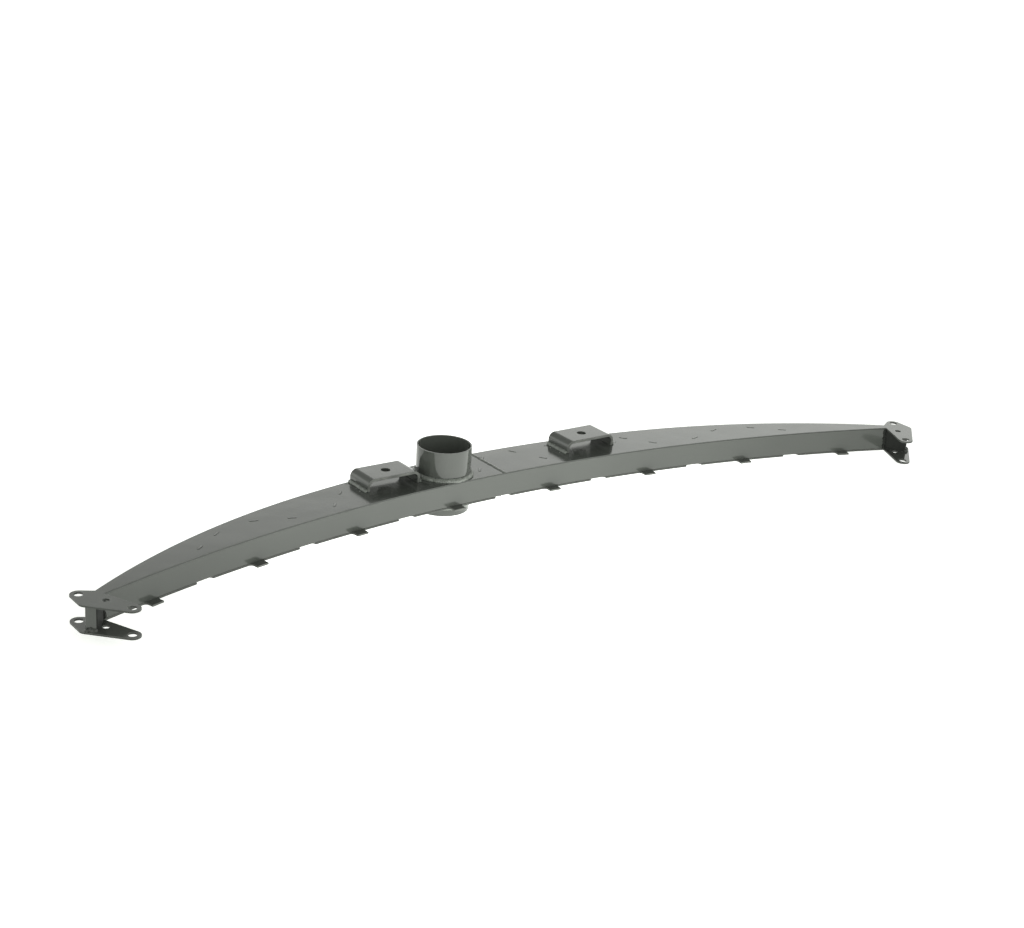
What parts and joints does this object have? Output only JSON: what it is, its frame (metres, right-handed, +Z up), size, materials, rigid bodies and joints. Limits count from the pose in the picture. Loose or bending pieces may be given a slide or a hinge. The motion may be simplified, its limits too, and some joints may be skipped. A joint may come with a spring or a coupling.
{
  "type": "bowed box-section cross beam",
  "caption": "Bowed, crescent-shaped welded sheet-steel box beam with a vertical tube socket, hat brackets with captive nuts, and forked bolt lugs at both ends.",
  "frame": {"origin": "on the tube's axis, level with the underside of the beam's bottom plate", "axes": "+X along the beam, +Y towards its convex rear edge, +Z up along the tube, towards the hat brackets"},
  "size_m": [1.356, 0.2515, 0.091],
  "materials": {
    "body_paint": "gloss dark grey-green paint over steel sheet",
    "weld_paint": "the same gloss paint over rippled weld bead",
    "nut_steel": "the same paint over a steel weld nut, with bare thread"
  },
  "bodies": {
    "root": {"top_plate_left": "body_paint", "top_plate_right": "body_paint", "bottom_plate_left": "body_paint", "bottom_plate_right": "body_paint", "front_web_left": "body_paint", "front_web_right": "body_paint", "rear_web_left": "body_paint", "rear_web_right": "body_paint", "left_end_channel": "body_paint", "right_end_channel": "body_paint", "centre_tube": "body_paint", "tube_top_weld": "weld_paint", "tube_bottom_weld": "weld_paint", "left_bracket": "body_paint", "right_bracket": "body_paint", "left_bracket_welds": "weld_paint", "right_bracket_welds": "weld_paint", "left_weld_nut": "nut_steel", "right_weld_nut": "nut_steel", "top_seam_weld": "weld_paint", "bottom_seam_weld": "weld_paint", "left_end_welds": "weld_paint", "right_end_welds": "weld_paint", "rib_left_outer": "body_paint", "rib_left_middle": "body_paint", "rib_left_inner": "body_paint", "rib_seam_left": "body_paint", "rib_seam_right": "body_paint", "rib_right_inner": "body_paint", "rib_right_middle": "body_paint", "rib_right_outer": "body_paint"}
  },
  "joints": []
}
